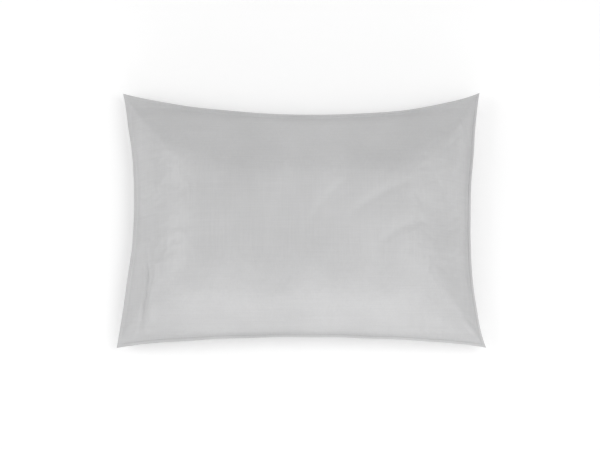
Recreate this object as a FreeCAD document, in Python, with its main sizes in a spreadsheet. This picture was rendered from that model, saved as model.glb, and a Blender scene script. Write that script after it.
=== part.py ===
"""A bed pillow inside its pillowcase, lying face up, as an assembly of its sewn pieces.

The case is a housewife pillowcase: a front panel whose cloth turns in at the mouth as a
tuck-in flap, and a back panel with a turned hem at the mouth. Its two long sides and the
closed end are sewn. The pillow inside has two ticking panels, a piped edge and a fibre fill.

Frame: +Z up from the surface that the pillow lies on, X along the pillow with the mouth of
the case at -X, Y across it, and the origin under the middle of the case. Millimetres.

Cloth pieces follow two shared height fields over a square u, v from -1 to 1, which is
stretched onto the outline of the case: u along X and v along Y.
"""

import FreeCAD, Part
import math
import os

import Sketcher
from FreeCAD import Rotation, Vector

# alias, value in mm, what it is
DRIVING = [
    ("corner_length", 690, "case, corner to corner along X"),
    ("corner_width", 492, "case, corner to corner along Y"),
    ("corner_ear", 3, "how far each pinched corner sticks out past its edges' curves"),
    ("bow_mouth", 25.5, "how far the mouth end curves in between its corners"),
    ("bow_closed", 23.5, "the same at the closed end"),
    ("bow_upper", 44.5, "the same along the +Y side"),
    ("bow_lower", 15.5, "the same along the -Y side"),
    ("seam_height", 46, "side seams above the surface"),
    ("corner_drop", 16, "how much lower the corners hang"),
    ("mouth_drop", 8, "how much lower the mouth hangs"),
    ("crown_height", 79, "front panel's rise from the seams to its crown"),
    ("contact_length", 390, "flat underside along X"),
    ("contact_width", 195, "flat underside along Y"),
    ("contact_trim", 0.3, "cloth pressed flat by the surface under the pillow"),
    ("cloth", 0.8, "case cloth"),
    ("seam_flange", 5, "cloth outside the stitching"),
    ("seam_gap", 0.9, "room between two panels where they meet at a seam"),
    ("flap_depth", 160, "tuck-in flap, from the mouth inwards"),
    ("mouth_hem_depth", 22, "turned hem of the back panel"),
    ("flap_hem_depth", 12, "turned hem of the flap"),
    ("layer_step", 0.4, "air between two layers of cloth"),
    ("ease_above", 1.2, "air between the front panel and the pillow"),
    ("ease_below", 4.1, "room under the pillow for the flap and its hem"),
    ("pillow_gap_mouth", 30, "from the mouth to the pillow's end"),
    ("pillow_gap_closed", 28, "from the closed end to the pillow's other end"),
    ("pillow_gap_side", 30, "from each side seam to the pillow's side"),
    ("ticking", 0.8, "ticking cloth"),
    ("piping_diameter", 3.4, "covered cord on the pillow's edge"),
    ("piping_join", 1, "gap where the two ends of the piping meet"),
    ("thread_width", 0.8, "a row of stitches"),
    ("thread_height", 0.3, "thickness of a row of stitches"),
    ("thread_lift", 0.25, "air between a row of stitches and its cloth"),
    ("closing_length", 220, "seam sewn shut after filling"),
    ("bar_tack_length", 10, "dense stitching at each end of the mouth"),
    ("bar_tack_width", 2, "the same, along Y"),
    ("bar_tack_height", 0.5, "thickness of that stitching"),
    ("label_thickness", 0.3, "satin care labels"),
    ("case_label_length", 30, "along X"),
    ("case_label_width", 34, "along Y, from the seam inwards"),
    ("pillow_label_length", 50, "along X, from the seam inwards"),
    ("pillow_label_width", 30, "along Y"),
]

DOME_ALONG = (8, 1.7)  # power and ease of the front's profile along X: full, steep at the ends
DOME_ACROSS = (5, 2.4)  # the same along Y: a broad crown, flatter next to the seams
EAR_POWER = 12  # how near its corners an edge turns out into the ears
BLUNT_POWER = 12  # how bluntly the pillow's own edge rises
CORNER_ROUND, ROUND_POWER = 0.06, 10  # how far, and how near its corners, the pillow is rounded off
GRID_U, GRID_V = 41, 33  # points across a whole panel
STRIP = 4  # points across a narrow strip
PIPING_SECTIONS = 24  # along each side of the pillow

doc = FreeCAD.newDocument("bed_pillow")
sheet = doc.addObject("Spreadsheet::Sheet", "driving")
for row, (alias, value, meaning) in enumerate(DRIVING, start=1):
    sheet.set(f"A{row}", alias)
    sheet.set(f"B{row}", str(value))
    sheet.set(f"C{row}", meaning)
    sheet.setAlias(f"B{row}", alias)
doc.recompute()


def size(alias):
    """A driving dimension, in mm."""
    return float(sheet.get(alias))


HALF_LENGTH = size("corner_length") / 2
HALF_WIDTH = size("corner_width") / 2
MID_LENGTH = HALF_LENGTH - size("corner_ear") - (size("bow_mouth") + size("bow_closed")) / 2
MID_WIDTH = HALF_WIDTH - size("corner_ear") - (size("bow_upper") + size("bow_lower")) / 2
CLOTH = size("cloth")
STEP = size("layer_step")


def along(length):
    """A length along X as a share of the half length."""
    return length / MID_LENGTH


def across(length):
    """A length along Y as a share of the half width."""
    return length / MID_WIDTH


FLAP_END = -1 + along(size("flap_depth"))
THREAD = size("thread_lift") + size("thread_height")
LAYERS = 2 * CLOTH + 3 * STEP + THREAD  # hem and flap, stacked at the mouth


# ---- outline and height fields ----


def blend(low, high, share):
    return low + (high - low) * share


def ramp(value, start, end):
    """0 at start, 1 at end, smooth between."""
    share = min(1.0, max(0.0, (value - start) / (end - start)))
    return share * share * (3 - 2 * share)


def bow(alias, t, power, lean=0.0, ease=1.0):
    """How far an edge curves in at t, from -1 to 1 along it; lean moves the deepest place."""
    leaning = t + lean * (1 - t * t)
    return size(alias) * max(0.0, 1 - abs(leaning) ** power) ** ease


def outline(u, v):
    """X and Y of a place on the case."""
    mouth = bow("bow_mouth", v, 2, -0.06, 1.3)
    closed = bow("bow_closed", v, 2, 0.2)
    upper = bow("bow_upper", u, 2.4, -0.08)
    lower = bow("bow_lower", u, 1.8)
    end_ear = size("corner_ear") * (1 - abs(v) ** EAR_POWER)
    side_ear = size("corner_ear") * (1 - abs(u) ** EAR_POWER)
    x = u * (HALF_LENGTH - end_ear - blend(mouth, closed, (1 + u) / 2))
    y = v * (HALF_WIDTH - side_ear - blend(lower, upper, (1 + v) / 2))
    return x, y


def meet(a, b):
    """Joins two profiles, one along X and one along Y, into one surface with soft corner ridges."""
    if min(a, b) < 1e-4:
        return 0.0
    return (a**-2 + b**-2 - 1) ** -0.5


def dome(t, flange, power, ease):
    """Profile of the crown between two seams."""
    return max(0.0, 1 - (abs(t) / (1 - flange)) ** power) ** ease


def crown(u, v):
    """0 at the seams, 1 at the middle of the front panel."""
    flange = size("seam_flange")
    return meet(dome(u, along(flange), *DOME_ALONG), dome(v, across(flange), *DOME_ACROSS))


def tray(u, v):
    """0 at the seams, 1 where the back panel lies flat on the surface."""
    flange = size("seam_flange")
    flat_u = size("contact_length") / 2 / MID_LENGTH
    flat_v = size("contact_width") / 2 / MID_WIDTH
    return meet(
        ramp(-abs(u), along(flange) - 1, -flat_u),
        ramp(-abs(v), across(flange) - 1, -flat_v),
    )


def seam_level(u, v):
    """Height at which the panels meet at the seams."""
    hang = size("corner_drop") * u**4 * v**4 + size("mouth_drop") * ((1 - u) / 2) ** 6
    return size("seam_height") - hang


def front_inside(u, v):
    rise = crown(u, v)
    layers = LAYERS * (1 - ramp(u, FLAP_END + 0.02, FLAP_END + 0.2)) + size("seam_gap")
    return seam_level(u, v) + size("crown_height") * rise + layers * (1 - rise)


def front_outside(u, v):
    return front_inside(u, v) + CLOTH


def back_outside(u, v):
    share = tray(u, v)
    return (seam_level(u, v) - CLOTH) * (1 - share) - size("contact_trim") * share


def back_inside(u, v):
    return back_outside(u, v) + CLOTH


def raised(surface, by):
    """The same height field, moved up."""
    return lambda u, v: surface(u, v) + by


# ---- the pillow inside: p along X and q along Y, from -1 to 1 over the pillow itself ----


def pillow_place(p, q):
    """The case's u, v at a place on the pillow."""
    round_off = 1 - CORNER_ROUND * (p * q) ** ROUND_POWER
    reach_mouth = 1 - along(size("pillow_gap_mouth"))
    reach_closed = 1 - along(size("pillow_gap_closed"))
    reach_side = 1 - across(size("pillow_gap_side"))
    middle = (reach_closed - reach_mouth) / 2
    half = (reach_closed + reach_mouth) / 2
    return middle + p * half * round_off, q * reach_side * round_off


def pillow_limits(p, q):
    """Lowest and highest level free for the pillow, and the level of its own seam."""
    u, v = pillow_place(p, q)
    low = back_inside(u, v) + size("ease_below")
    high = front_inside(u, v) - size("ease_above")
    return low, high, (low + high) / 2


def fullness(p, q):
    return (1 - abs(p) ** BLUNT_POWER) * (1 - abs(q) ** BLUNT_POWER)


def ticking_top_inside(p, q):
    _, high, seam = pillow_limits(p, q)
    return seam + (high - size("ticking") - seam) * fullness(p, q)


def ticking_bottom_inside(p, q):
    low, _, seam = pillow_limits(p, q)
    edge = seam - size("seam_gap")
    return edge - (edge - low - size("ticking")) * fullness(p, q)


def on_case(surface):
    """A height field of the case as points."""
    return lambda u, v: Vector(*outline(u, v), surface(u, v))


def on_pillow(surface):
    """A height field of the pillow as points."""
    return lambda p, q: Vector(*outline(*pillow_place(p, q)), surface(p, q))


# ---- solids ----


def crowded(low, high, count):
    """Values from low to high that lie closer together near both ends."""
    middle, half = (low + high) / 2, (high - low) / 2
    turn = math.pi / (count - 1)
    return [middle - half * math.cos(turn * i) for i in range(count)]


def even(low, high, count):
    return [blend(low, high, i / (count - 1)) for i in range(count)]


def smooth_face(points):
    surface = Part.BSplineSurface()
    surface.interpolate(points)
    return surface.toShape()


def skin(low, high, us, vs):
    """Closed solid between two surfaces over the same grid."""
    faces = [smooth_face([[side(u, v) for v in vs] for u in us]) for side in (low, high)]
    walls = [Part.makeRuledSurface(a, b) for a, b in zip(faces[0].Edges, faces[1].Edges)]
    shell = Part.makeShell(faces + [wall.Faces[0] for wall in walls])
    shell.sewShape()
    solid = Part.makeSolid(shell)
    if solid.Volume < 0:
        solid.reverse()
    return solid


def add_piece(label, shape):
    piece = doc.addObject("Part::Feature", label)
    piece.Shape = shape
    piece.Label = label
    return piece


def case_layer(base, low, high, us, vs):
    """A layer of the case between two offsets from a height field."""
    return skin(on_case(raised(base, low)), on_case(raised(base, high)), us, vs)


def pillow_layer(base, low, high, ps, qs):
    return skin(on_pillow(raised(base, low)), on_pillow(raised(base, high)), ps, qs)


ALL_U, ALL_V = crowded(-1, 1, GRID_U), crowded(-1, 1, GRID_V)


def case_panels():
    front = add_piece("case_front_panel", case_layer(front_inside, 0, CLOTH, ALL_U, ALL_V))
    hanging = add_piece("back_panel_hanging", case_layer(back_outside, 0, CLOTH, ALL_U, ALL_V))
    table = doc.addObject("Part::Box", "surface_under_pillow")
    for side in ("Length", "Width"):
        table.setExpression(side, f"driving.corner_{side.lower()}")
    table.setExpression("Height", "driving.contact_trim * 10")
    table.setExpression("Placement.Base.x", "-driving.corner_length / 2")
    table.setExpression("Placement.Base.y", "-driving.corner_width / 2")
    table.setExpression("Placement.Base.z", "-driving.contact_trim * 10")
    back = doc.addObject("Part::Cut", "case_back_panel")
    back.Base, back.Tool = hanging, table
    return [front, back]


def mouth_layers():
    """The back panel's hem, and the flap with its own hem, stacked inside the mouth."""
    hem_low, hem_high = STEP, STEP + CLOTH
    flap_low = hem_high + THREAD + STEP
    hem_end = -1 + along(size("mouth_hem_depth"))
    flap_hem_start = FLAP_END - along(size("flap_hem_depth"))
    layers = {
        "mouth_hem": (hem_low, hem_high, crowded(-1, hem_end, 7)),
        "tuck_in_flap": (flap_low, flap_low + CLOTH, crowded(-1, FLAP_END, 21)),
        "tuck_in_flap_hem": (hem_low + THREAD, hem_high + THREAD, crowded(flap_hem_start, FLAP_END, 5)),
    }
    return [
        add_piece(label, case_layer(back_inside, low, high, us, ALL_V))
        for label, (low, high, us) in layers.items()
    ]


def row_on_case(surface, us, vs, below):
    """One row of thread on top of a layer of the case, or below it."""
    near, far = size("thread_lift"), size("thread_lift") + size("thread_height")
    low, high = (-far, -near) if below else (near, far)
    return case_layer(surface, low, high, us, vs)


def seam_stitching():
    """Needle thread on the front and bobbin thread on the back, along the three sewn sides."""
    width = size("thread_width")
    flange_v, wide_v = across(size("seam_flange")), across(width)
    flange_u, wide_u = along(size("seam_flange")), along(width)
    long_run = crowded(-0.999, 0.999, GRID_U)
    end_run = crowded(-(1 - 2 * flange_v), 1 - 2 * flange_v, GRID_V)
    runs = {
        "upper_side_stitching": (long_run, even(1 - flange_v, 1 - flange_v + wide_v, STRIP)),
        "lower_side_stitching": (long_run, even(-1 + flange_v - wide_v, -1 + flange_v, STRIP)),
        "closed_end_stitching": (even(1 - flange_u, 1 - flange_u + wide_u, STRIP), end_run),
    }
    return [
        add_piece(
            label,
            Part.makeCompound(
                [
                    row_on_case(front_outside, us, vs, below=False),
                    row_on_case(back_outside, us, vs, below=True),
                ]
            ),
        )
        for label, (us, vs) in runs.items()
    ]


def hem_stitching():
    """One row through each hem, seen on both faces of the cloth."""
    inset, width = size("seam_flange") / 2, size("thread_width")
    vs = crowded(-(1 - 2 * across(inset)), 1 - 2 * across(inset), GRID_V)
    hem_top = raised(back_inside, STEP + CLOTH)
    flap_top = raised(back_inside, 2 * STEP + 2 * CLOTH + THREAD)
    mouth_row = -1 + along(size("mouth_hem_depth") - inset)
    flap_row = FLAP_END - along(size("flap_hem_depth") - inset)
    mouth_us = even(mouth_row, mouth_row + along(width), STRIP)
    flap_us = even(flap_row, flap_row + along(width), STRIP)
    under_hem = raised(back_inside, STEP + THREAD)
    pairs = {
        "mouth_hem_stitching": [(hem_top, mouth_us, False), (back_outside, mouth_us, True)],
        "flap_hem_stitching": [(flap_top, flap_us, False), (under_hem, flap_us, True)],
    }
    return [
        add_piece(
            label,
            Part.makeCompound([row_on_case(s, us, vs, below) for s, us, below in rows]),
        )
        for label, rows in pairs.items()
    ]


def bar_tack(label, side):
    """Dense stitching across the seam flange where the mouth ends: side is +1 or -1 along Y."""
    body = doc.addObject("PartDesign::Body", label)
    sketch = body.newObject("Sketcher::SketchObject", f"{label}_outline")
    plane = [f for f in body.Origin.OriginFeatures if f.Role == "XY_Plane"][0]
    sketch.AttachmentSupport, sketch.MapMode = [(plane, "")], "FlatFace"
    half, low = size("bar_tack_length") / 2, -size("bar_tack_width") / 2
    corners = [(-half, low), (half, low), (half, -low), (-half, -low)]
    for start, end in zip(corners, corners[1:] + corners[:1]):
        sketch.addGeometry(Part.LineSegment(Vector(*start, 0), Vector(*end, 0)), False)
    for i in range(4):
        sketch.addConstraint(Sketcher.Constraint("Coincident", i, 2, (i + 1) % 4, 1))
    for i, direction in enumerate(("Horizontal", "Vertical") * 2):
        sketch.addConstraint(Sketcher.Constraint(direction, i))
    sketch.addConstraint(Sketcher.Constraint("Symmetric", 0, 1, 2, 1, -1, 1))
    for line, kind, alias in ((0, "DistanceX", "length"), (1, "DistanceY", "width")):
        index = sketch.addConstraint(Sketcher.Constraint(kind, line, 1, line, 2, 1.0))
        sketch.renameConstraint(index, alias)
        sketch.setExpression(f"Constraints.{alias}", f"driving.bar_tack_{alias}")
    pad = body.newObject("PartDesign::Pad", f"{label}_pad")
    pad.Profile = sketch
    pad.setExpression("Length", "driving.bar_tack_height")
    doc.recompute()
    round_over = body.newObject("PartDesign::Fillet", f"{label}_round_over")
    round_over.Base = (pad, [f"Edge{i + 1}" for i in top_edges(pad.Shape)])
    round_over.setExpression("Radius", "driving.bar_tack_height / 2.5")
    body.Tip = round_over
    lift = size("bar_tack_height") / 2
    u = -1 + along(size("bar_tack_length"))
    v = side * (1 - across(size("seam_flange") / 2))
    here = on_case(front_outside)(u, v)
    ahead = on_case(front_outside)(u + along(size("bar_tack_length") / 2), v)
    aside = on_case(front_outside)(u, v - side * across(size("bar_tack_width") / 2))
    forward = (ahead - here).normalize()
    upward = forward.cross((aside - here) * -side).normalize()
    body.Placement = FreeCAD.Placement(
        here + upward * lift, Rotation(forward, upward.cross(forward), upward, "ZXY")
    )
    return body


def top_edges(shape):
    """Index of each edge that lies wholly in the highest face."""
    top = shape.BoundBox.ZMax
    return [i for i, e in enumerate(shape.Edges) if e.BoundBox.ZMin > top - 1e-6]


def case_label():
    """Care label caught in the lower side seam, lying against the inside of the front."""
    thick = size("label_thickness")
    u, v = -0.3, -0.955
    us = even(u, u + along(size("case_label_length")), 7)
    vs = even(v, v + across(size("case_label_width")), 9)
    low = -size("ease_above") + (size("ease_above") - thick) / 2
    return add_piece("case_care_label", case_layer(front_inside, low, low + thick, us, vs))


def ticking_panels():
    thick = size("ticking")
    panels = {
        "ticking_top_panel": (ticking_top_inside, 0, thick),
        "ticking_bottom_panel": (ticking_bottom_inside, -thick, 0),
    }
    return [
        add_piece(label, pillow_layer(surface, low, high, ALL_U, ALL_V))
        for label, (surface, low, high) in panels.items()
    ]


def fibre_fill():
    """The fill as one closed solid, clear of the ticking all round."""
    reach = 0.96
    ps, qs = crowded(-reach, reach, GRID_U), crowded(-reach, reach, GRID_V)
    low = on_pillow(raised(ticking_bottom_inside, 2 * STEP))
    high = on_pillow(raised(ticking_top_inside, -2 * STEP))
    return add_piece("fibre_fill", skin(low, high, ps, qs))


def pillow_edge(turn):
    """A place on the pillow's edge, from turn 0 at its lower mouth corner to 4, back there again."""
    side, share = int(turn) % 4, turn % 1.0
    run = -math.cos(math.pi * share)
    p, q = [(run, -1.0), (1.0, run), (-run, 1.0), (-1.0, -run)][side]
    return Vector(*outline(*pillow_place(p, q)), pillow_limits(p, q)[2])


def piping_half(side):
    """Upper or lower half of the piping's surface: side is +1 or -1, across runs from -1 to 1."""
    radius, flat_share, step = size("piping_diameter") / 2, 0.3, 0.04

    def place(turn, across_it):
        run = pillow_edge(turn + step) - pillow_edge(turn - step)
        out = run.cross(Vector(0, 0, 1)).normalize()
        bulge = flat_share + (1 - flat_share) * math.sqrt(1 - across_it**2)
        offset = out * (radius * (1 + across_it) + 2 * STEP)
        return pillow_edge(turn) + offset + Vector(0, 0, side * radius * bulge)

    return place


def piping():
    """One length of piping round the pillow; its ends meet in the middle of the mouth end."""
    start = 3.5
    half_join = size("piping_join") / 2 / (math.pi * MID_WIDTH)
    turns = even(start + half_join, start + 4 - half_join, 4 * PIPING_SECTIONS + 1)
    ring = skin(piping_half(-1), piping_half(1), turns, crowded(-1, 1, 9))
    return add_piece("piping", ring)


def ticking_stitching():
    """Rows of thread just inside the pillow's edge; one end is closed last, after filling."""
    inset, width = 0.985, size("thread_width")
    low, high = size("thread_lift"), size("thread_lift") + size("thread_height")
    wide_p, wide_q = along(width), across(width)
    long_run = crowded(-0.97, 0.97, GRID_U)
    short_run = crowded(-0.96, 0.96, GRID_V)
    half_closing = across(size("closing_length") / 2)
    closing_run = even(-half_closing, half_closing, 15)
    seam_runs = [
        (long_run, even(inset - wide_q, inset, STRIP)),
        (long_run, even(-inset, -inset + wide_q, STRIP)),
        (even(-inset, -inset + wide_p, STRIP), short_run),
        (even(inset - wide_p, inset, STRIP), even(-0.96, -half_closing - 0.02, 9)),
        (even(inset - wide_p, inset, STRIP), even(half_closing + 0.02, 0.96, 9)),
    ]
    top = raised(ticking_top_inside, size("ticking"))
    closing = pillow_layer(top, low, high, even(inset - wide_p, inset, STRIP), closing_run)
    rows = [pillow_layer(top, low, high, ps, qs) for ps, qs in seam_runs]
    return [
        add_piece("ticking_seam_stitching", Part.makeCompound(rows)),
        add_piece("closing_seam_stitching", closing),
    ]


def pillow_label():
    """Care label caught in the seam at the mouth end, lying on the top panel."""
    thick = size("label_thickness")
    p, q = -0.97, 0.5
    ps = even(p, p + along(size("pillow_label_length")), 9)
    qs = even(q, q + across(size("pillow_label_width")), 7)
    low = size("ticking") + (size("ease_above") - thick) / 2
    return add_piece(
        "pillow_care_label", pillow_layer(ticking_top_inside, low, low + thick, ps, qs)
    )


def check(piece):
    shape = piece.Shape
    bad_state = {"Invalid", "Error"} & set(piece.State)
    if bad_state or shape.isNull() or not shape.isValid() or not shape.Solids:
        raise RuntimeError(f"{piece.Label} did not build: {piece.State}")


def main():
    pieces = case_panels() + mouth_layers() + seam_stitching() + hem_stitching()
    pieces += [bar_tack("mouth_bar_tack_upper", 1), bar_tack("mouth_bar_tack_lower", -1)]
    pieces += [case_label(), *ticking_panels(), fibre_fill(), piping()]
    pieces += [*ticking_stitching(), pillow_label()]
    doc.recompute()
    for item in doc.Objects:
        if {"Invalid", "Error"} & set(item.State):
            raise RuntimeError(f"{item.Label} failed: {item.State}")
    for piece in pieces:
        check(piece)
    os.makedirs("parts", exist_ok=True)
    for piece in pieces:
        piece.Shape.exportStep(f"parts/{piece.Label}.step")
        print(f"{piece.Label}: {len(piece.Shape.Solids)} solid(s), {piece.Shape.Volume:.0f} mm3")


main()
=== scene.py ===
"""The looks of a stuffed bed pillow in its pillowcase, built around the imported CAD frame.

Metres, +Z up, X along the pillow with the open end of its case at -X. Every cloth piece is a
height field. The case's pieces are laid out over u, v from -1 to 1, which outline() stretches
onto the case: u along X, v along Y. The pillow's are laid out over p, q, which pillow_place()
fits inside it. The sizes come from the boxes of the CAD nodes.
"""

import math

import bpy
import numpy as np
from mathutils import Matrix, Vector


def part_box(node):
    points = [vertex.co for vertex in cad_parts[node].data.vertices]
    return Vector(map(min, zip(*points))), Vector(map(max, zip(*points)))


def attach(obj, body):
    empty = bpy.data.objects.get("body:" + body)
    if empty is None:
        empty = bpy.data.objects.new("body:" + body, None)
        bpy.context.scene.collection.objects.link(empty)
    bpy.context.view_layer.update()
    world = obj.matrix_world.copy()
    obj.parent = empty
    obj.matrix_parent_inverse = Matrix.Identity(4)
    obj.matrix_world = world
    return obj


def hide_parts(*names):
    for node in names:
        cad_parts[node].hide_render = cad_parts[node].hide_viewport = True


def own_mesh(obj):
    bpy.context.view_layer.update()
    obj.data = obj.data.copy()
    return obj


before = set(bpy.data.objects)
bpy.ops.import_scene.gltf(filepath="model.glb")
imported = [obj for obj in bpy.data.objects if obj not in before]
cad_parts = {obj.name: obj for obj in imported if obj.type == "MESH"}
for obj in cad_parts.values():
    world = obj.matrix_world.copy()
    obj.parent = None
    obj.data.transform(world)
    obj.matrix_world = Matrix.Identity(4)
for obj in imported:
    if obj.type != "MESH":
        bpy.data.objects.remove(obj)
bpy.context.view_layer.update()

MM = 0.001

# ---- sizes, from the CAD nodes ----

FRONT_LOW, FRONT_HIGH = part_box("case_front_panel")
BACK_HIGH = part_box("case_back_panel")[1]
FLAP_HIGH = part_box("tuck_in_flap")[1]
HEM_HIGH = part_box("mouth_hem")[1]
FLAP_HEM_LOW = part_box("tuck_in_flap_hem")[0]
TICKING_LOW, TICKING_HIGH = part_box("ticking_top_panel")
HALF_X = (FRONT_HIGH.x - FRONT_LOW.x) / 2
HALF_Y = (FRONT_HIGH.y - FRONT_LOW.y) / 2
CROWN = FRONT_HIGH.z
SEAM = BACK_HIGH.z

# ---- how this pillow is shaped ----

EAR, EAR_POWER = 3 * MM, 12  # how far, and how near, each pinched corner sticks out
BOW_MOUTH, BOW_CLOSED = 25.5 * MM, 23.5 * MM  # how far each edge curves in between its corners
BOW_UPPER, BOW_LOWER = 44.5 * MM, 15.5 * MM
CORNER_DROP, MOUTH_DROP = 16 * MM, 8 * MM
DOME_ALONG, DOME_ACROSS = (8, 1.7), (5, 2.4)  # power and ease of the crown's profile
FLANGE = 5 * MM  # cloth outside the stitching
FLANGE_ROUND, FLANGE_SWELL = 0.65 * MM, 0.14 * MM  # how much its middle is raised, and uneven
STITCH_GROOVE = 0.12 * MM
CONTACT_X, CONTACT_Y = 195 * MM, 97.5 * MM  # half of the flat underside
MID_X = HALF_X - EAR - (BOW_MOUTH + BOW_CLOSED) / 2
MID_Y = HALF_Y - EAR - (BOW_UPPER + BOW_LOWER) / 2
CLOTH = 0.45 * MM
MOUTH_STACK = 3.0 * MM  # hem and flap between the two panels at the mouth
HEM_LIFT, FLAP_LIFT, FLAP_HEM_LIFT = 0.5 * MM, 2.0 * MM, 1.3 * MM  # above the back panel
HEM_SEAM = 2.5 * MM  # stitches of the mouth hem, from its inner edge
FLAP_HEM_WIDTH, FLAP_HEM_SEAM = 12 * MM, 9.5 * MM  # both from the inner end of the flap
FLAP_END_U = (FLAP_HIGH.x - FRONT_LOW.x - EAR - BOW_MOUTH) / MID_X - 1
PIPING_RADIUS = 1.7 * MM
ROUND_OFF, ROUND_POWER, BLUNT_POWER = 0.06, 10, 12  # corners and edge of the pillow inside
TICKING_SEAM, HALF_CLOSING = 4.5 * MM, 110 * MM  # stitches in from the edge; half the sewn-shut gap
PILLOW_BELOW_FRONT, PILLOW_ABOVE_BACK = 3.6 * MM, 5.0 * MM

STEP = 3.3 * MM  # spacing of the finished meshes' grid away from the edges
TICKING_STEP = 3.6 * MM
SIM_U, SIM_V, SIM_FRAMES = 131, 93, 22  # points and frames of the simulated cloth
SIM_P, SIM_Q = 101, 71
SIDES = 6  # faces round a stitch


def smooth(value, start, end):
    """0 at start, 1 at end, smooth between."""
    share = np.clip((value - start) / (end - start), 0, 1)
    return share * share * (3 - 2 * share)


def lerp(a, b, share):
    return a + (b - a) * share


def waves(position, seed, wavelength, count=9):
    """Smooth random ripple along a line: about -1 to 1."""
    rng = np.random.default_rng(seed)
    total = np.zeros_like(position)
    for _ in range(count):
        turns = rng.uniform(0.55, 1.6) / wavelength
        total += np.cos(2 * math.pi * (position * turns + rng.random()))
    return total / math.sqrt(count)


def ripple(x, y, seed, wavelength, count=14):
    """Smooth random ripple over a plane: about -1 to 1."""
    rng = np.random.default_rng(seed)
    total = np.zeros_like(x)
    for _ in range(count):
        angle = rng.uniform(0, math.pi)
        turns = rng.uniform(0.6, 1.5) / wavelength
        along = x * math.cos(angle) + y * math.sin(angle)
        total += np.cos(2 * math.pi * (along * turns + rng.random()))
    return total / math.sqrt(count)


# ---- height fields ----


def bow(t, power, lean=0.0, ease=1.0):
    """How deep an edge's bow is along the edge: 0 at its corners, 1 at the deepest place."""
    leaning = t + lean * (1 - t * t)
    return np.clip(1 - np.abs(leaning) ** power, 0, 1) ** ease


def outline(u, v):
    """X and Y of a place on the case, with the slight waviness of its sewn edges."""
    mouth = BOW_MOUTH * bow(v, 2, -0.06, 1.3)
    closed = BOW_CLOSED * bow(v, 2, 0.2)
    upper = BOW_UPPER * bow(u, 2.4, -0.08)
    lower = BOW_LOWER * bow(u, 1.8)
    end_ear = EAR * (1 - np.abs(v) ** EAR_POWER)
    side_ear = EAR * (1 - np.abs(u) ** EAR_POWER)
    x = u * (HALF_X - end_ear - lerp(mouth, closed, (1 + u) / 2))
    y = v * (HALF_Y - side_ear - lerp(lower, upper, (1 + v) / 2))
    near_side, near_end = np.abs(v) ** 8, np.abs(u) ** 8
    wavy_side = np.where(v > 0, waves(u * MID_X, 3, 0.16), waves(u * MID_X, 4, 0.15))
    wavy_end = np.where(u > 0, waves(v * MID_Y, 5, 0.13), waves(v * MID_Y, 6, 0.14))
    y = y + 0.55 * MM * wavy_side * near_side * (1 - near_end)
    x = x + 0.5 * MM * wavy_end * near_end * (1 - near_side)
    return x, y


def meet(a, b):
    """Joins two profiles, one along X and one along Y, with soft ridges towards the corners."""
    a, b = np.maximum(a, 1e-5), np.maximum(b, 1e-5)
    return (a**-2 + b**-2 - 1) ** -0.5


def dome(t, flange, power, ease):
    return np.clip(1 - (np.abs(t) / (1 - flange)) ** power, 0, 1) ** ease


def crown(u, v):
    """0 at the seams, 1 at the middle of the front panel."""
    return meet(dome(u, FLANGE / MID_X, *DOME_ALONG), dome(v, FLANGE / MID_Y, *DOME_ACROSS))


def tray(u, v):
    """0 at the seams, 1 where the back panel lies on the surface."""
    return meet(
        smooth(-np.abs(u), FLANGE / MID_X - 1, -CONTACT_X / MID_X),
        smooth(-np.abs(v), FLANGE / MID_Y - 1, -CONTACT_Y / MID_Y),
    )


def seam_level(u, v):
    return SEAM - CORNER_DROP * u**4 * v**4 - MOUTH_DROP * ((1 - u) / 2) ** 6


def front_level(u, v):
    """The front panel before it has any wrinkle."""
    rise = crown(u, v)
    lift = MOUTH_STACK * (1 - smooth(u, FLAP_END_U, FLAP_END_U + 0.25)) + 0.5 * MM
    return seam_level(u, v) + (CROWN - SEAM) * rise + lift * (1 - rise)


def back_level(u, v):
    """Outside of the back panel before it has any wrinkle."""
    share = tray(u, v)
    return (seam_level(u, v) - 0.5 * MM) * (1 - share) + 0.1 * MM * share


def place(u, v, height):
    return np.stack([*outline(u, v), height], axis=-1)


def raised(points, lift):
    moved = points.copy()
    moved[..., 2] += lift
    return moved


def inward(u, v):
    """Distances to the mouth, to the closed end and to the nearer side."""
    return (1 + u) * MID_X, (1 - u) * MID_X, (1 - np.abs(v)) * MID_Y


# ---- grids ----


def lines(middle, step=STEP):
    """Grid values from -1 to 1: close together over the seam at each end, even between."""
    seam = [0, 0.12, 0.4, 0.8, 1.3, 1.9, 2.5, 3.2, 3.9, 4.4, 4.7, 4.95, 5.2, 5.6, 6.2, 7.2, 9, 11.5]
    seam = np.array(seam) * MM / middle  # distances in from the edge, closest at the stitches
    count = int((2 - 2 * seam[-1]) * middle / step)
    inner = np.linspace(-1 + seam[-1], 1 - seam[-1], count + 1)[1:-1]
    return np.concatenate([-1 + seam, inner, (1 - seam)[::-1]])


def between(low, high, step=STEP):
    """The lines of a whole panel that lie between two values, with both of those."""
    inner = lines(MID_X, step)
    inner = inner[(inner > low + 1e-4) & (inner < high - 1e-4)]
    return np.concatenate([[low], inner, [high]])


def mesh_grid(us, vs):
    return np.meshgrid(us, vs, indexing="ij")


def catmull(grid, at, axis):
    """Smooth interpolation of a grid that is even from -1 to 1 along one axis."""
    count = grid.shape[axis]
    t = np.clip((at + 1) / 2, 0, 1) * (count - 1)
    i = np.minimum(t.astype(int), count - 2)
    f = (t - i).reshape([-1 if k == axis else 1 for k in range(grid.ndim)])
    p = [np.take(grid, np.clip(i + k, 0, count - 1), axis) for k in (-1, 0, 1, 2)]
    a = 2 * p[1]
    b = p[2] - p[0]
    c = 2 * p[0] - 5 * p[1] + 4 * p[2] - p[3]
    d = 3 * (p[1] - p[2]) + p[3] - p[0]
    return (a + f * (b + f * (c + f * d))) / 2


def resample(grid, us, vs):
    return catmull(catmull(grid, us, 0), vs, 1)


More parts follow.
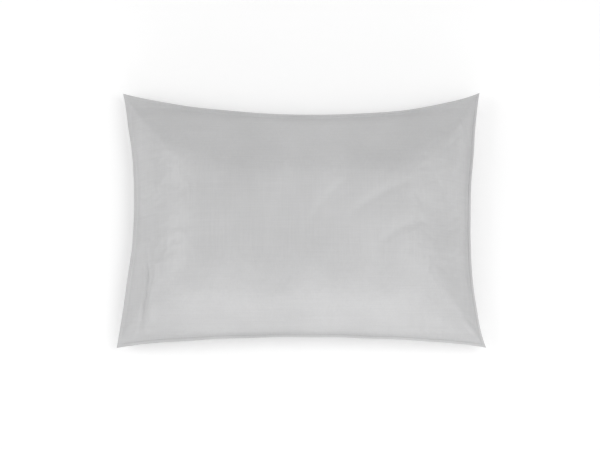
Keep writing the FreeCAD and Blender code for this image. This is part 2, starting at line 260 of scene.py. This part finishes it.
def normals(points):
    """Unit normals of a grid of points, upwards where the grid lies flat."""
    n = np.cross(np.gradient(points, axis=0), np.gradient(points, axis=1))
    return n / np.maximum(np.linalg.norm(n, axis=-1, keepdims=True), 1e-12)


# ---- meshes ----


def make_object(name, verts, faces, material):
    mesh = bpy.data.meshes.new(name)
    mesh.from_pydata(np.asarray(verts).tolist(), [], faces)
    mesh.validate()
    mesh.polygons.foreach_set("use_smooth", [True] * len(mesh.polygons))
    mesh.materials.append(material)
    obj = bpy.data.objects.new(name, mesh)
    bpy.context.scene.collection.objects.link(obj)
    return obj


def quads(rows, columns, start=0, flip=False):
    corner = np.arange(rows * columns).reshape(rows, columns)[:-1, :-1].ravel() + start
    faces = np.stack([corner, corner + columns, corner + columns + 1, corner + 1], axis=-1)
    return (faces[:, ::-1] if flip else faces).tolist()


def shell(name, top, bottom, material):
    """A closed thin piece between two grids of points."""
    rows, columns = top.shape[:2]
    count = rows * columns
    verts = np.concatenate([top.reshape(-1, 3), bottom.reshape(-1, 3)])
    faces = quads(rows, columns) + quads(rows, columns, count, flip=True)
    ring = [i * columns for i in range(rows)]
    ring += [(rows - 1) * columns + j for j in range(1, columns)]
    ring += [i * columns + columns - 1 for i in range(rows - 2, -1, -1)]
    ring += list(range(columns - 2, 0, -1))
    for a, b in zip(ring, ring[1:] + ring[:1]):
        faces.append((b, a, a + count, b + count))
    return make_object(name, verts, faces, material)


def settle(points, hold, slack, pressure):
    """Lets a grid of cloth find its own shape. hold is 1 where it is held."""
    rows, columns = points.shape[:2]
    piece = make_object("settling_cloth", points.reshape(-1, 3), quads(rows, columns), None)
    group = piece.vertex_groups.new(name="hold")
    for index, weight in enumerate(hold.ravel()):
        group.add([index], float(weight), "REPLACE")
    cloth = piece.modifiers.new("cloth", "CLOTH")
    settings = cloth.settings
    settings.quality = 5
    settings.mass = 0.0004
    settings.tension_stiffness = settings.compression_stiffness = 12
    settings.shear_stiffness = 6
    settings.bending_stiffness = 0.06
    settings.tension_damping = settings.compression_damping = settings.shear_damping = 6
    settings.air_damping = 2
    settings.shrink_min = -slack
    settings.use_pressure = True
    settings.uniform_pressure_force = pressure
    settings.vertex_group_mass = "hold"
    settings.pin_stiffness = 1
    settings.effector_weights.gravity = 0
    cloth.point_cache.frame_start, cloth.point_cache.frame_end = 1, SIM_FRAMES
    for number in range(1, SIM_FRAMES + 1):
        bpy.context.scene.frame_set(number)
    shaped = piece.evaluated_get(bpy.context.evaluated_depsgraph_get()).to_mesh()
    settled = np.empty(len(shaped.vertices) * 3, np.float32)
    shaped.vertices.foreach_get("co", settled)
    bpy.data.objects.remove(piece, do_unlink=True)
    bpy.context.scene.frame_set(1)
    return settled.reshape(points.shape).astype(float) - points


# ---- materials ----


def new_material(name, colour, roughness, sheen=0.0):
    material = bpy.data.materials.new(name)
    material.use_nodes = True
    shader = material.node_tree.nodes["Principled BSDF"]
    shader.inputs["Base Color"].default_value = (*colour, 1)
    shader.inputs["Roughness"].default_value = roughness
    shader.inputs["Sheen Weight"].default_value = sheen
    shader.inputs["Sheen Roughness"].default_value = 0.4
    return material, material.node_tree, shader


def textured(name, colour, roughness, sheen, stretches, mottle, depth, weave=0.0, strength=0.5):
    """A fibrous material: noise stretched each way in turn, uneven colour and, if asked, a weave.

    mottle is how far the colour strays, depth and weave the height and spacing of its threads.
    """
    material, tree, shader = new_material(name, colour, roughness, sheen)
    add, link = tree.nodes.new, tree.links.new
    coords = add("ShaderNodeTexCoord")

    def texture(kind, scale, stretch=(1, 1, 1)):
        mapping = add("ShaderNodeMapping")
        mapping.inputs["Scale"].default_value = stretch
        link(coords.outputs["Object"], mapping.inputs["Vector"])
        node = add(kind)
        node.inputs["Scale"].default_value = scale
        link(mapping.outputs["Vector"], node.inputs["Vector"])
        return node

    def combine(operation, a, b):
        node = add("ShaderNodeMath")
        node.operation = operation
        for socket, value in zip(node.inputs, (a, b)):
            if isinstance(value, float):
                socket.default_value = value
            else:
                link(value, socket)
        return node.outputs[0]

    fibres = [texture("ShaderNodeTexNoise", 1, stretch).outputs["Fac"] for stretch in stretches]
    threads = fibres[0]
    for more in fibres[1:]:
        threads = combine("ADD", threads, more)
    threads = combine("MULTIPLY", threads, 1 / len(fibres))
    patches = texture("ShaderNodeTexNoise", 7)
    patches.inputs["Detail"].default_value = 3
    shade = combine(
        "ADD", combine("MULTIPLY", threads, 0.6), combine("MULTIPLY", patches.outputs["Fac"], 0.4)
    )
    ramp = add("ShaderNodeValToRGB")
    ramp.color_ramp.elements[0].position, ramp.color_ramp.elements[1].position = 0.35, 0.65
    for element, factor in zip(ramp.color_ramp.elements, (1 - mottle, 1 + mottle)):
        element.color = (*(min(1, c * factor) for c in colour), 1)
    link(shade, ramp.inputs["Fac"])
    link(ramp.outputs["Color"], shader.inputs["Base Color"])
    rough = combine("ADD", combine("MULTIPLY", threads, 0.12), roughness - 0.06)
    link(rough, shader.inputs["Roughness"])
    height = threads
    if weave:
        bands = []
        for direction in ("X", "Y"):
            wave = texture("ShaderNodeTexWave", 0.05 / weave)
            wave.bands_direction = direction
            wave.inputs["Distortion"].default_value = 0.6
            bands.append(wave.outputs["Fac"])
        height = combine("ADD", combine("MULTIPLY", *bands), combine("MULTIPLY", threads, 1.6))
    bump = add("ShaderNodeBump")
    bump.inputs["Strength"].default_value = strength
    bump.inputs["Distance"].default_value = depth
    link(height, bump.inputs["Height"])
    link(bump.outputs["Normal"], shader.inputs["Normal"])
    return material


# how much finer the noise is along each axis, for each set of fibres
BOTH_WAYS = [(60, 2600, 60), (2600, 60, 2600)]
SLUBS = [(9, 420, 9), (420, 9, 420)]
TWISTED = [(2500, 900, 900), (900, 2500, 900)]
BIAS_CLOTH = [(1400, 1400, 90), (300, 2400, 300)]
RIBBON = [(90, 4200, 90), (700, 90, 700)]
TANGLED = [(160, 900, 420), (900, 160, 420), (420, 900, 160)]

SATEEN = textured(
    "grey_sateen", (0.545, 0.545, 0.549), 0.42, 0.15, BOTH_WAYS + SLUBS,
    mottle=0.09, depth=0.15 * MM, weave=0.4 * MM, strength=0.35,
)
CASE_THREAD = textured(
    "grey_thread", (0.58, 0.58, 0.585), 0.45, 0.2, TWISTED, mottle=0.08, depth=0.08 * MM
)
TICKING = textured(
    "ticking_cotton", (0.80, 0.79, 0.765), 0.75, 0.2, BOTH_WAYS,
    mottle=0.03, depth=0.2 * MM, weave=0.6 * MM,
)
PIPING = textured(
    "piping_cotton", (0.78, 0.77, 0.74), 0.7, 0.2, BIAS_CLOTH, mottle=0.04, depth=0.25 * MM
)
TICKING_THREAD = textured(
    "white_thread", (0.84, 0.83, 0.80), 0.5, 0.2, TWISTED, mottle=0.06, depth=0.08 * MM
)
SATIN = textured(
    "label_satin", (0.84, 0.84, 0.83), 0.32, 0.1, RIBBON,
    mottle=0.03, depth=0.06 * MM, weave=0.3 * MM,
)
FIBRE = textured(
    "polyester_fibre", (0.86, 0.86, 0.85), 0.85, 0.5, TANGLED,
    mottle=0.06, depth=1.2 * MM, strength=0.8,
)


# ---- the case ----


def fold(x, y, start, end, width, depth):
    """A crease from start to end: a narrow valley with a softer ridge on its left side."""
    soft = 3 * width
    start, end = np.array(start) * (HALF_X, HALF_Y), np.array(end) * (HALF_X, HALF_Y)
    length = np.linalg.norm(end - start)
    ahead = (end - start) / length
    along = ((x - start[0]) * ahead[0] + (y - start[1]) * ahead[1]) / length
    aside = (y - start[1]) * ahead[0] - (x - start[0]) * ahead[1]
    aside = aside - 0.06 * length * np.sin(math.pi * np.clip(along, 0, 1))
    fade = smooth(along, -0.12, 0.3) * (1 - smooth(along, 0.65, 1.12))
    valley = -np.exp(-((aside / width) ** 2))
    ridge = 0.75 * np.exp(-(((aside - soft) / soft) ** 2))
    return depth * fade * (valley + ridge)


def corner_folds(u, v, reach=70 * MM):
    """Folds that run out of each corner."""
    total = 0
    for number, (side_u, side_v) in enumerate([(-1, -1), (1, -1), (-1, 1), (1, 1)]):
        dx, dy = (1 - u * side_u) * MID_X, (1 - v * side_v) * MID_Y
        away = np.hypot(dx, dy)
        turn = np.arctan2(dy, dx + 1e-6)
        size = np.exp(-away / reach) * smooth(away, 4 * MM, 30 * MM)
        total = total + size * np.cos(11 * turn + 1.3 * number) * np.sin(2 * turn) ** 0.5
    return total


def gathers(u, v, seed, reach=10 * MM):
    """Little puckers beside the seams."""
    _, closed, side = inward(u, v)
    beside = np.exp(-np.clip(side - FLANGE, 0, 1) / reach) * waves(u * MID_X, seed, 15 * MM)
    ending = np.exp(-np.clip(closed - FLANGE, 0, 1) / reach) * waves(v * MID_Y, seed + 1, 14 * MM)
    return beside + ending


def seam_form(u, v):
    """Height of the rolled seam allowance, with the groove of its stitches."""
    _, closed, side = inward(u, v)
    total = 0
    for edge, swell in ((closed, waves(v * MID_Y, 31, 0.02)), (side, waves(u * MID_X, 32, 0.02))):
        roll = np.sqrt(np.clip(1 - ((edge - 2.3 * MM) / (2.4 * MM)) ** 2, 0, 1))
        total = np.maximum(total, (FLANGE_ROUND + FLANGE_SWELL * swell) * roll)
    groove = np.exp(-(((np.minimum(closed, side) - FLANGE) / (0.55 * MM)) ** 2))
    return total - STITCH_GROOVE * groove


def mouth_roll(u, radius):
    """How far a face drops where the cloth folds over at the mouth."""
    edge = np.clip((1 + u) * MID_X, 0, radius)
    return radius - np.sqrt(np.clip(radius**2 - (radius - edge) ** 2, 0, None))


def settled_case(level, hold, slack, pressure, lowest, highest):
    """How the cloth moves as it settles, on the coarse grid, and never past the two limits."""
    u, v = mesh_grid(np.linspace(-1, 1, SIM_U), np.linspace(-1, 1, SIM_V))
    moved = settle(place(u, v, level(u, v)), hold(u, v), slack, pressure)
    up, down = np.maximum(moved[..., 2], 0), np.minimum(moved[..., 2], 0)
    moved[..., 2] = highest * np.tanh(up / highest) + lowest * np.tanh(down / lowest)
    return moved


def held_at_seams(u, v):
    return 1 - smooth(np.minimum.reduce(inward(u, v)), 6 * MM, 16 * MM)


def held_below(u, v):
    return np.maximum(held_at_seams(u, v), smooth(tray(u, v), 0.85, 0.97))


FRONT_MOVED = settled_case(front_level, held_at_seams, 0.004, 0.5, -1.5 * MM, 3 * MM)
BACK_MOVED = settled_case(back_level, held_below, 0.004, -0.2, -6 * MM, 2 * MM)

# Creases of the front: start and end as shares of half its size, then width and depth in mm.
FOLDS = (
    ((-0.83, -0.27), (-0.87, -0.88), 3.4, 6.5),
    ((0.87, 0.79), (0.90, 0.57), 3.5, 3.0),
    ((0.93, 0.81), (0.94, 0.61), 3.0, 2.0),
    ((0.24, -0.07), (0.63, 0.24), 8.0, 1.2),
    ((0.39, -0.28), (0.67, -0.05), 7.0, 1.1),
    ((0.53, -0.38), (0.63, -0.23), 6.0, 0.9),
    ((0.03, -0.13), (0.28, 0.27), 8.0, 0.9),
    ((0.87, -0.77), (0.97, -0.91), 3.5, 2.2),
)


def front_points(us, vs):
    """The outside of the front panel."""
    u, v = mesh_grid(us, vs)
    x, y = outline(u, v)
    free = 1 - held_at_seams(u, v)
    wrinkles = 0.45 * MM * ripple(x, y, 11, 0.09) + 0.12 * MM * ripple(x, y, 12, 0.03)
    for start, end, width, depth in FOLDS:
        wrinkles = wrinkles + fold(x, y, start, end, width * MM, depth * MM)
    height = front_level(u, v) + free * wrinkles + 1.1 * MM * corner_folds(u, v)
    past_seam = smooth(np.minimum.reduce(inward(u, v)), 4 * MM, 7 * MM)
    height = height + 0.35 * MM * gathers(u, v, 21) * past_seam
    height = height + seam_form(u, v) * smooth(u, -1, -1 + 4 * MM / MID_X) - mouth_roll(u, 1.3 * MM)
    return place(u, v, height) + resample(FRONT_MOVED, us, vs)


def back_points(us, vs):
    """The outside of the back panel."""
    u, v = mesh_grid(us, vs)
    x, y = outline(u, v)
    free = (1 - held_below(u, v)) * smooth(-tray(u, v), -0.9, -0.3)
    wrinkles = 0.5 * MM * ripple(x, y, 13, 0.07) + 0.9 * MM * corner_folds(u, v)
    height = back_level(u, v) + free * wrinkles
    height = height + 0.3 * MM * gathers(u, v, 23) * free
    height = height - seam_form(u, v) * smooth(u, -1, -1 + 4 * MM / MID_X) + mouth_roll(u, 0.5 * MM)
    points = place(u, v, height) + resample(BACK_MOVED, us, vs)
    points[..., 2] = np.maximum(points[..., 2], 0.1 * MM)
    return points


def offset(points, distance):
    return points + normals(points) * distance


def case_piece(piece, node):
    """A piece of the case: it stays with the case."""
    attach(piece, "pillowcase")
    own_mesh(piece)
    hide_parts(node)


def above_back(us, vs, lift):
    """A layer inside the mouth, over the back panel."""
    inside = offset(back_points(us, vs), CLOTH)
    uneven = 0.15 * MM * ripple(*outline(*mesh_grid(us, vs)), 41, 0.04)
    return raised(inside, lift + uneven)


def case_cloth():
    us, vs = lines(MID_X), lines(MID_Y)
    front = front_points(us, vs)
    front = shell("case_front", front, offset(front, -CLOTH), SATEEN)
    back = back_points(us, vs)
    back = shell("case_back", offset(back, CLOTH), back, SATEEN)
    flap = above_back(between(-1, FLAP_END_U, 4 * MM), vs, FLAP_LIFT)
    flap = shell("tuck_in_flap", offset(flap, CLOTH), flap, SATEEN)
    hem_end = (HEM_HIGH.x + HALF_X - EAR - BOW_MOUTH) / MID_X - 1
    hem = above_back(between(-1, hem_end, 3 * MM), vs, HEM_LIFT)
    hem = shell("mouth_hem", offset(hem, CLOTH), hem, SATEEN)
    hem_start = FLAP_END_U - FLAP_HEM_WIDTH / MID_X
    flap_hem = above_back(between(hem_start, FLAP_END_U, 3 * MM), vs, FLAP_HEM_LIFT)
    flap_hem = shell("tuck_in_flap_hem", offset(flap_hem, CLOTH), flap_hem, SATEEN)
    for piece, node in (
        (front, "case_front_panel"), (back, "case_back_panel"), (flap, "tuck_in_flap"),
        (hem, "mouth_hem"), (flap_hem, "tuck_in_flap_hem"),
    ):
        case_piece(piece, node)
    return front, back, flap, hem, flap_hem


# ---- thread ----


def stitches(name, rows, material, pitch=3.0 * MM, share=0.8, radius=0.21 * MM):
    """Lockstitches along rows, each given as the points of its path and the normals there."""
    shares = np.array([-1, -0.85, -0.5, 0, 0.5, 0.85, 1])
    turns = np.arange(SIDES) * 2 * math.pi / SIDES
    verts, faces = [], []
    for path, up in rows:
        run = np.concatenate([[0], np.cumsum(np.linalg.norm(np.diff(path, axis=0), axis=1))])
        count = int(run[-1] / pitch)
        middle = (np.arange(count) + 0.5) * run[-1] / count
        at = middle[:, None] + shares * pitch * share / 2
        spot = np.stack([np.interp(at, run, path[:, k]) for k in range(3)], axis=-1)
        normal = np.stack([np.interp(at, run, up[:, k]) for k in range(3)], axis=-1)
        chord = spot[:, -1:] - spot[:, :1]
        aside = np.cross(chord / np.linalg.norm(chord, axis=-1, keepdims=True), normal)
        sink = radius * (0.9 - 1.9 * shares**4)[None, :, None]
        thick = radius * (1 - 0.45 * np.abs(shares) ** 5)[None, :, None, None]
        ring = np.cos(turns)[:, None] * normal[:, :, None] + np.sin(turns)[:, None] * aside[:, :, None]
        tube = (spot + normal * sink)[:, :, None] + ring * thick
        for points in tube:
            start = len(verts)
            verts += points.reshape(-1, 3).tolist()
            for i in range(len(shares) - 1):
                for j in range(SIDES):
                    a, b = start + i * SIDES + j, start + i * SIDES + (j + 1) % SIDES
                    faces.append((a, b, b + SIDES, a + SIDES))
            faces.append(tuple(start + j for j in range(SIDES - 1, -1, -1)))
            faces.append(tuple(start + SIDES * (len(shares) - 1) + j for j in range(SIDES)))
    return make_object(name, verts, faces, material)


def side_row(surface, face, v, us):
    """A path along X on a surface, with its normals; face is 1 for its upper side, -1 below."""
    near = 0.4 * MM / MID_Y
    points = surface(us, np.array([v - near, v, v + near]))
    return points[:, 1], normals(points)[:, 1] * face


def end_row(surface, face, u, vs):
    """The same along Y."""
    near = 0.4 * MM / MID_X
    points = surface(np.array([u - near, u, u + near]), vs)
    return points[1], normals(points)[1] * face


def case_stitching():
    long_run = np.linspace(-0.998, 0.998, 1400)
    seam_v, seam_u = 1 - FLANGE / MID_Y, 1 - FLANGE / MID_X
    end_run = np.linspace(-seam_v, seam_v, 1000)
    hem_run = np.linspace(-0.975, 0.975, 1000)
    hem_u = (HEM_HIGH.x - FRONT_LOW.x - EAR - BOW_MOUTH - HEM_SEAM) / MID_X - 1
    flap_u = FLAP_END_U - FLAP_HEM_SEAM / MID_X

    def hem_top(us, vs):
        return above_back(us, vs, HEM_LIFT + CLOTH)

    def flap_top(us, vs):
        return above_back(us, vs, FLAP_LIFT + CLOTH)

    def flap_hem_under(us, vs):
        return above_back(us, vs, FLAP_HEM_LIFT)

    def both_faces(row, where, run):
        """A seam's needle thread on the front and its bobbin thread on the back."""
        return [row(front_points, 1, where, run), row(back_points, -1, where, run)]

    for name, rows in {
        "upper_side_stitching": both_faces(side_row, seam_v, long_run),
        "lower_side_stitching": both_faces(side_row, -seam_v, long_run),
        "closed_end_stitching": both_faces(end_row, seam_u, end_run),
        "mouth_hem_stitching": [
            end_row(hem_top, 1, hem_u, hem_run), end_row(back_points, -1, hem_u, hem_run)
        ],
        "flap_hem_stitching": [
            end_row(flap_top, 1, flap_u, hem_run), end_row(flap_hem_under, -1, flap_u, hem_run)
        ],
    }.items():
        case_piece(stitches(name, rows, CASE_THREAD), name)
    for name, side in (("mouth_bar_tack_upper", 1), ("mouth_bar_tack_lower", -1)):
        low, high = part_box(name)
        middle_u = ((low.x + high.x) / 2 - FRONT_LOW.x) / MID_X - 1
        rows = []
        for number in range(15):
            u = middle_u + (number - 7) * 0.7 * MM / MID_X
            run = side * (1 - np.linspace(1.2, 3.8, 9) * MM / MID_Y)
            rows.append(end_row(front_points, 1, u, run[::side]))
        tack = stitches(name, rows, CASE_THREAD, pitch=2.6 * MM, share=1, radius=0.26 * MM)
        case_piece(tack, name)


# ---- the pillow inside: p along X and q along Y, from -1 to 1 over the pillow itself ----


def pillow_place(p, q, reach):
    """The case's u, v at a place on the pillow. reach: to the mouth, closed end and sides."""
    round_off = 1 - ROUND_OFF * (p * q) ** ROUND_POWER
    middle, half = (reach[1] - reach[0]) / 2, (reach[1] + reach[0]) / 2
    return middle + p * half * round_off, q * reach[2] * round_off


def find_reach():
    """How far the pillow reaches in u and v to fill the box of its CAD node."""
    reach, run = np.array([0.9, 0.9, 0.86]), np.linspace(-1, 1, 81)
    for _ in range(3):
        mouth_x = outline(*pillow_place(-1 + 0 * run, run, reach))[0].min()
        closed_x = outline(*pillow_place(1 + 0 * run, run, reach))[0].max()
        side_y = outline(*pillow_place(run, 1 + 0 * run, reach))[1].max()
        miss = [mouth_x - TICKING_LOW.x, TICKING_HIGH.x - closed_x, TICKING_HIGH.y - side_y]
        reach = reach + np.array(miss) / np.array([MID_X, MID_X, MID_Y])
    return reach


REACH = find_reach()
HALF_P, HALF_Q = (TICKING_HIGH.x - TICKING_LOW.x) / 2, (TICKING_HIGH.y - TICKING_LOW.y) / 2


def pillow_levels(p, q):
    """The pillow's seam, top and bottom before it has any wrinkle."""
    u, v = pillow_place(p, q, REACH)
    high = front_level(u, v) - PILLOW_BELOW_FRONT
    low = back_level(u, v) + PILLOW_ABOVE_BACK
    seam = (front_level(u, v) + back_level(u, v) + 3 * MM) / 2
    full = (1 - np.abs(p) ** BLUNT_POWER) * (1 - np.abs(q) ** BLUNT_POWER)
    return seam, seam + (high - seam) * full, seam - (seam - low) * full


def pillow_points(p, q, level):
    return place(*pillow_place(p, q, REACH), level)


def settled_ticking(number, pressure, lowest, highest):
    """The same for a ticking panel: number 1 is the top, 2 the bottom."""
    p, q = mesh_grid(np.linspace(-1, 1, SIM_P), np.linspace(-1, 1, SIM_Q))
    inside = np.minimum((1 - np.abs(p)) * HALF_P, (1 - np.abs(q)) * HALF_Q)
    hold = 1 - smooth(inside, 3 * MM, 12 * MM)
    moved = settle(pillow_points(p, q, pillow_levels(p, q)[number]), hold, 0.006, pressure)
    moved[..., 2] = np.clip(moved[..., 2], lowest, highest)
    return moved


TOP_MOVED = settled_ticking(1, 0.2, -2 * MM, 1 * MM)
BOTTOM_MOVED = settled_ticking(2, -0.2, -0.6 * MM, 1.5 * MM)


def puckers(p, q, seed):
    """Puckers that run in from the pillow's sewn edge, and broad shallow lumps."""
    side, end = (1 - np.abs(q)) * HALF_Q, (1 - np.abs(p)) * HALF_P
    beside = np.exp(-side / (16 * MM)) * waves(p * HALF_P, seed, 17 * MM)
    ending = np.exp(-end / (16 * MM)) * waves(q * HALF_Q, seed + 1, 16 * MM)
    inside = smooth(np.minimum(side, end), 0, 5 * MM)
    lumps = ripple(p * HALF_P, q * HALF_Q, seed + 2, 0.08)
    return inside * (0.7 * MM * (beside + ending) + 0.5 * MM * lumps)


def ticking_top(ps, qs):
    p, q = mesh_grid(ps, qs)
    level = pillow_levels(p, q)[1] + puckers(p, q, 51) + 0.3 * MM
    return pillow_points(p, q, level) + resample(TOP_MOVED, ps, qs)


def ticking_bottom(ps, qs):
    p, q = mesh_grid(ps, qs)
    level = pillow_levels(p, q)[2] + puckers(p, q, 61) - 0.3 * MM
    return pillow_points(p, q, level) + resample(BOTTOM_MOVED, ps, qs)


def pillow_piece(piece, node):
    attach(piece, "pillow")
    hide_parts(node)


def piping():
    """A covered cord round the pillow; its ends meet in the middle of the mouth end."""
    run = -np.cos(math.pi * np.linspace(0, 1, 240, endpoint=False))
    one = np.ones_like(run)
    p = np.concatenate([run, one, -run, -one])
    q = np.concatenate([-one, run, one, -run])
    start = int(3.5 * len(run))
    p, q = np.roll(p, -start), np.roll(q, -start)
    path = pillow_points(p, q, pillow_levels(p, q)[0])
    ahead = np.roll(path, -1, axis=0) - np.roll(path, 1, axis=0)
    ahead /= np.linalg.norm(ahead, axis=-1, keepdims=True)
    out = np.cross(ahead, (0, 0, 1))
    out /= np.linalg.norm(out, axis=-1, keepdims=True)
    up = np.cross(out, ahead)
    turns = np.linspace(0, 2 * math.pi, 12, endpoint=False)
    length = np.concatenate([[0], np.cumsum(np.linalg.norm(np.diff(path, axis=0), axis=1))])
    radius = PIPING_RADIUS * (1 + 0.05 * waves(length, 71, 0.012))
    ring = np.cos(turns)[None, :, None] * out[:, None] + np.sin(turns)[None, :, None] * up[:, None]
    points = (path + out * (PIPING_RADIUS + 0.3 * MM))[:, None] + ring * radius[:, None, None]
    count, sides = points.shape[:2]
    faces = []
    for i in range(count - 1):
        for j in range(sides):
            a, b = i * sides + j, i * sides + (j + 1) % sides
            faces.append((a, a + sides, b + sides, b))
    faces += [tuple(range(sides)), tuple((count - 1) * sides + j for j in range(sides - 1, -1, -1))]
    return make_object("piping", points.reshape(-1, 3), faces, PIPING)


def pillow_inside():
    ps, qs = lines(HALF_P, TICKING_STEP), lines(HALF_Q, TICKING_STEP)
    top, bottom = ticking_top(ps, qs), ticking_bottom(ps, qs)
    top = shell("ticking_top", top, offset(top, -CLOTH), TICKING)
    bottom = shell("ticking_bottom", offset(bottom, CLOTH), bottom, TICKING)
    pillow_piece(top, "ticking_top_panel")
    pillow_piece(bottom, "ticking_bottom_panel")
    cord = piping()
    pillow_piece(cord, "piping")
    inset_p, inset_q = 1 - TICKING_SEAM / HALF_P, 1 - TICKING_SEAM / HALF_Q
    half_closing = HALF_CLOSING / HALF_Q
    near = 0.002  # rows beside the path, for its normals

    def along_side(q):
        points = ticking_top(np.linspace(-0.97, 0.97, 1200), np.array([q - near, q, q + near]))
        return points[:, 1], normals(points)[:, 1]

    def along_end(p, low, high):
        points = ticking_top(np.array([p - near, p, p + near]), np.linspace(low, high, 800))
        return points[1], normals(points)[1]

    seams = stitches(
        "ticking_seam_stitching",
        [
            along_side(inset_q),
            along_side(-inset_q),
            along_end(-inset_p, -0.96, 0.96),
            along_end(inset_p, -0.96, -half_closing - 0.02),
            along_end(inset_p, half_closing + 0.02, 0.96),
        ],
        TICKING_THREAD,
    )
    pillow_piece(seams, "ticking_seam_stitching")
    closing = stitches(
        "closing_seam_stitching", [along_end(inset_p, -half_closing, half_closing)],
        TICKING_THREAD, pitch=4 * MM,
    )
    pillow_piece(closing, "closing_seam_stitching")
    return top, bottom, cord


def fill():
    """The fibre as one soft mass just inside the ticking."""
    ps, qs = np.linspace(-0.965, 0.965, 150), np.linspace(-0.955, 0.955, 104)
    p, q = mesh_grid(ps, qs)
    x, y = outline(*pillow_place(p, q, REACH))
    fluff = 0.7 * MM * ripple(x, y, 81, 0.012) + 0.6 * MM * ripple(x, y, 82, 0.03)
    top = raised(ticking_top(ps, qs), -2.6 * MM - fluff)
    bottom = raised(ticking_bottom(ps, qs), 2.4 * MM + fluff)
    mass = shell("fibre_fill", top, bottom, FIBRE)
    pillow_piece(mass, "fibre_fill")


def labels():
    """Blank care labels: one inside the case, one on the pillow."""
    low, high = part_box("case_care_label")
    us = np.linspace(low.x, high.x, 25) / MID_X
    vs = np.linspace(-1 + 4 * MM / MID_Y, -1 + 38 * MM / MID_Y, 25)
    face = offset(front_points(us, vs), -CLOTH - 0.5 * MM)
    tag = shell("case_care_label", face, offset(face, -0.25 * MM), SATIN)
    case_piece(tag, "case_care_label")
    low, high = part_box("pillow_care_label")
    middle_x, middle_y = (TICKING_HIGH.x + TICKING_LOW.x) / 2, (TICKING_HIGH.y + TICKING_LOW.y) / 2
    ps = np.linspace((low.x - middle_x) / HALF_P, (high.x - middle_x) / HALF_P, 31)
    qs = np.linspace((low.y - middle_y) / HALF_Q, (high.y - middle_y) / HALF_Q, 21)
    p, q = mesh_grid(ps, qs)
    lift = 0.5 * MM + 0.5 * MM * smooth(p, ps[0], ps[-1]) + 0.1 * MM * ripple(p, q, 91, 0.1)
    face = raised(ticking_top(ps, qs), lift)
    tag = shell("pillow_care_label", offset(face, 0.25 * MM), face, SATIN)
    pillow_piece(tag, "pillow_care_label")


# ---- the studio ----


def light(name, position, energy):
    """A broad square lamp aimed at the pillow."""
    data = bpy.data.lights.new(name, "AREA")
    data.size, data.energy = 1.2, energy
    lamp = bpy.data.objects.new(name, data)
    lamp.location = position
    aim = Vector((0, 0, 0.05)) - Vector(position)
    lamp.rotation_euler = aim.to_track_quat("-Z", "Y").to_euler()
    bpy.context.scene.collection.objects.link(lamp)


def studio():
    floor_material, _, shader = new_material("white_floor", (0.88, 0.88, 0.88), 0.8)
    shader.inputs["Emission Color"].default_value = (1, 1, 1, 1)
    shader.inputs["Emission Strength"].default_value = 0.18
    side = 12.0
    corners = [(-side, -side, 0), (side, -side, 0), (side, side, 0), (-side, side, 0)]
    floor = make_object("floor", corners, [(0, 1, 2, 3)], floor_material)
    world = bpy.data.worlds.new("studio")
    world.use_nodes = True
    world.node_tree.nodes["Background"].inputs["Color"].default_value = (1, 1, 1, 1)
    world.node_tree.nodes["Background"].inputs["Strength"].default_value = 0.5
    bpy.context.scene.world = world
    light("left", (-1.6, 0, 1.3), 10.8)
    light("right", (1.6, 0, 1.3), 2.5)
    light("right_high", (0.9, 0, 1.8), 8.6)
    light("right_near", (1.3, -1.1, 1.3), 3.0)
    light("near", (0, -1.6, 1.3), 2.3)
    light("near_low", (0, -3, 1), 16.5)
    light("far_low", (0, 3, 1), 5)
    bpy.context.scene.view_settings.view_transform = "Standard"


def camera():
    data = bpy.data.cameras.new("camera")
    data.lens = 75
    eye = bpy.data.objects.new("camera", data)
    bpy.context.scene.collection.objects.link(eye)
    elevation, distance = math.radians(80), 2.363
    target = Vector((-0.002, -0.0152, 0.04))
    towards_camera = Vector((0, -math.cos(elevation), math.sin(elevation)))
    eye.location = target + towards_camera * distance
    eye.rotation_euler = (-towards_camera).to_track_quat("-Z", "Y").to_euler()
    bpy.context.scene.camera = eye


camera()
studio()
case_front, case_back, case_flap, case_hem, flap_hem = case_cloth()
case_stitching()
ticking_upper, ticking_lower, cord_round = pillow_inside()
fill()
labels()
